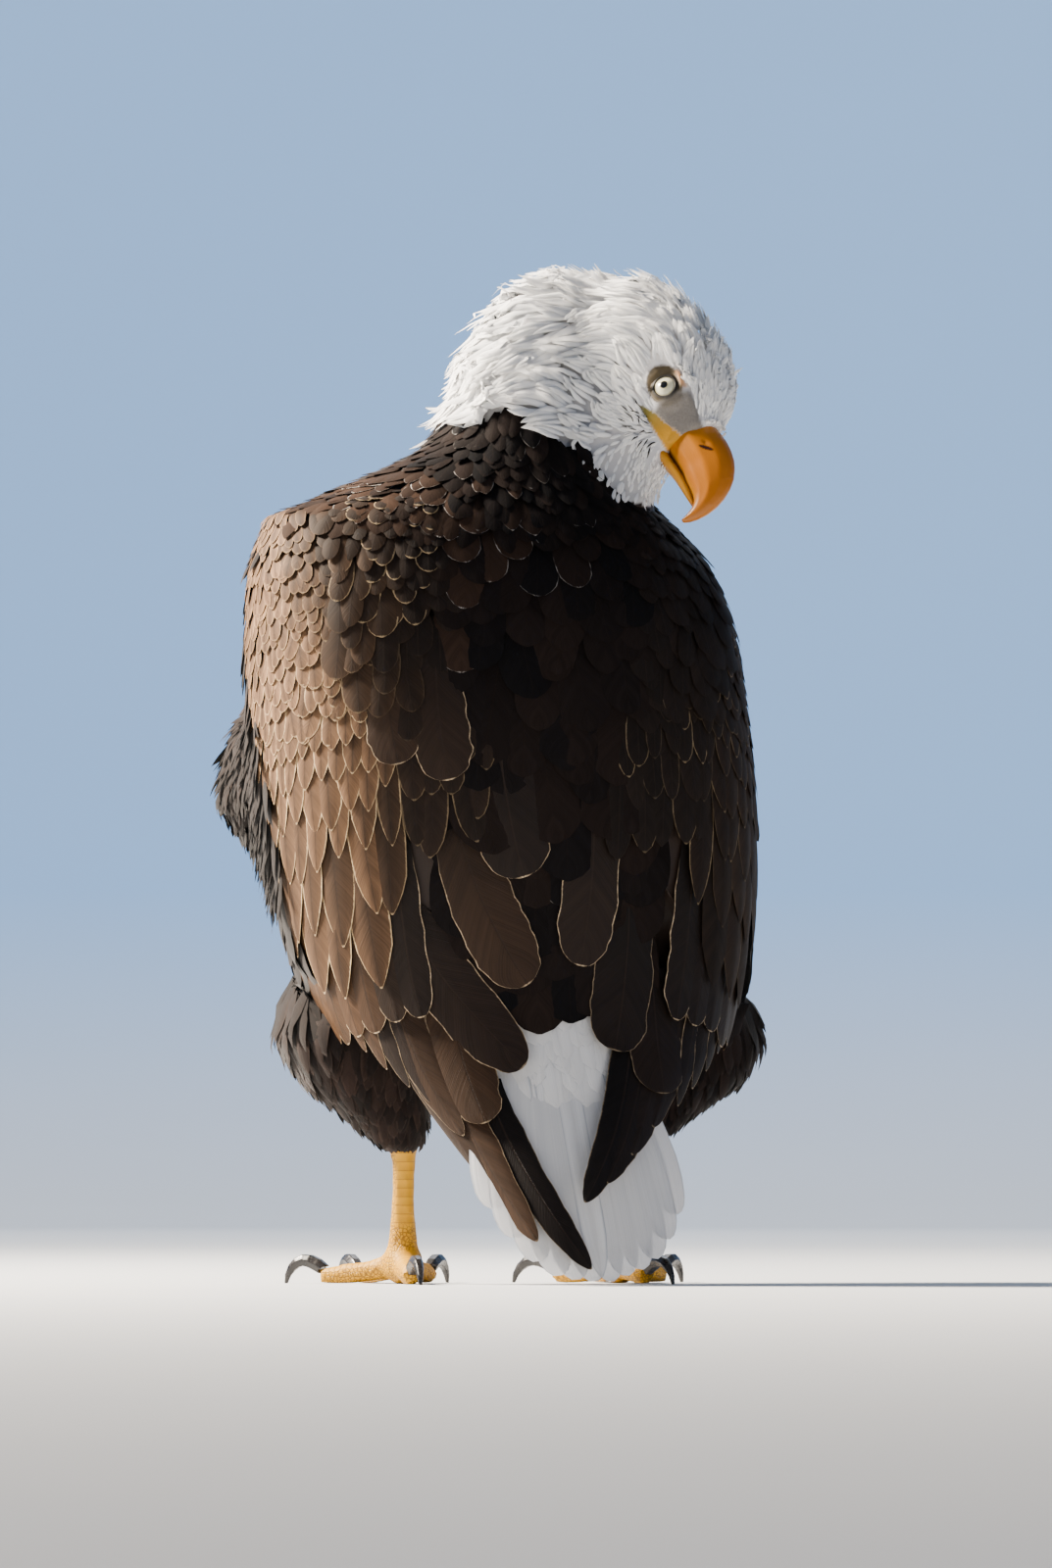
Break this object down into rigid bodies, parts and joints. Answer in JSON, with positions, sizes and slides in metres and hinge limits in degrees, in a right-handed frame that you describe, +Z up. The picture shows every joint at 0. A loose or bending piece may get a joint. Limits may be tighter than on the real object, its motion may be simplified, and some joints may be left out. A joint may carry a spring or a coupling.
{
  "type": "bald eagle",
  "caption": "Life-size still model of an adult bald eagle perched upright, wings folded over a white tail, head bowed and turned over its right shoulder",
  "frame": {"origin": "middle of the bounding box in plan, at floor level", "axes": "+Z up; the breast faces -Y and the tail is at +Y; +X is the bird's left, and the head turns to -X"},
  "size_m": [0.3448, 0.3004, 0.6448],
  "materials": {
    "body_plumage": "dark brown body feathers",
    "wing_coverts": "tan to dark brown wing coverts with paler edges",
    "flight_feathers": "dark brown flight feathers, slightly glossy",
    "white_plumage": "white head, neck and tail feathers",
    "bill_horn": "orange-yellow horn, smooth, slightly glossy",
    "eye": "glossy, pale straw-coloured iris round a black pupil",
    "leg_skin": "yellow scaled skin",
    "claw_horn": "black horn, slightly glossy"
  },
  "bodies": {
    "root": {"trunk": "body_plumage", "tail_coverts": "white_plumage", "tail": "white_plumage", "neck": "white_plumage", "head": "white_plumage", "cere": "bill_horn", "bill_upper": "bill_horn", "bill_lower": "bill_horn", "eye_left": "eye", "eye_right": "eye", "wing_left_coverts": "wing_coverts", "wing_left_secondaries": "flight_feathers", "wing_left_primaries": "flight_feathers", "wing_right_coverts": "wing_coverts", "wing_right_secondaries": "flight_feathers", "wing_right_primaries": "flight_feathers", "thigh_left": "body_plumage", "thigh_right": "body_plumage", "shank_left": "leg_skin", "shank_right": "leg_skin", "foot_left": "leg_skin", "foot_right": "leg_skin", "toe_middle_left": "leg_skin", "toe_inner_left": "leg_skin", "toe_outer_left": "leg_skin", "toe_hind_left": "leg_skin", "toe_middle_right": "leg_skin", "toe_inner_right": "leg_skin", "toe_outer_right": "leg_skin", "toe_hind_right": "leg_skin", "claw_middle_left": "claw_horn", "claw_inner_left": "claw_horn", "claw_outer_left": "claw_horn", "claw_hind_left": "claw_horn", "claw_middle_right": "claw_horn", "claw_inner_right": "claw_horn", "claw_outer_right": "claw_horn", "claw_hind_right": "claw_horn"}
  },
  "joints": []
}
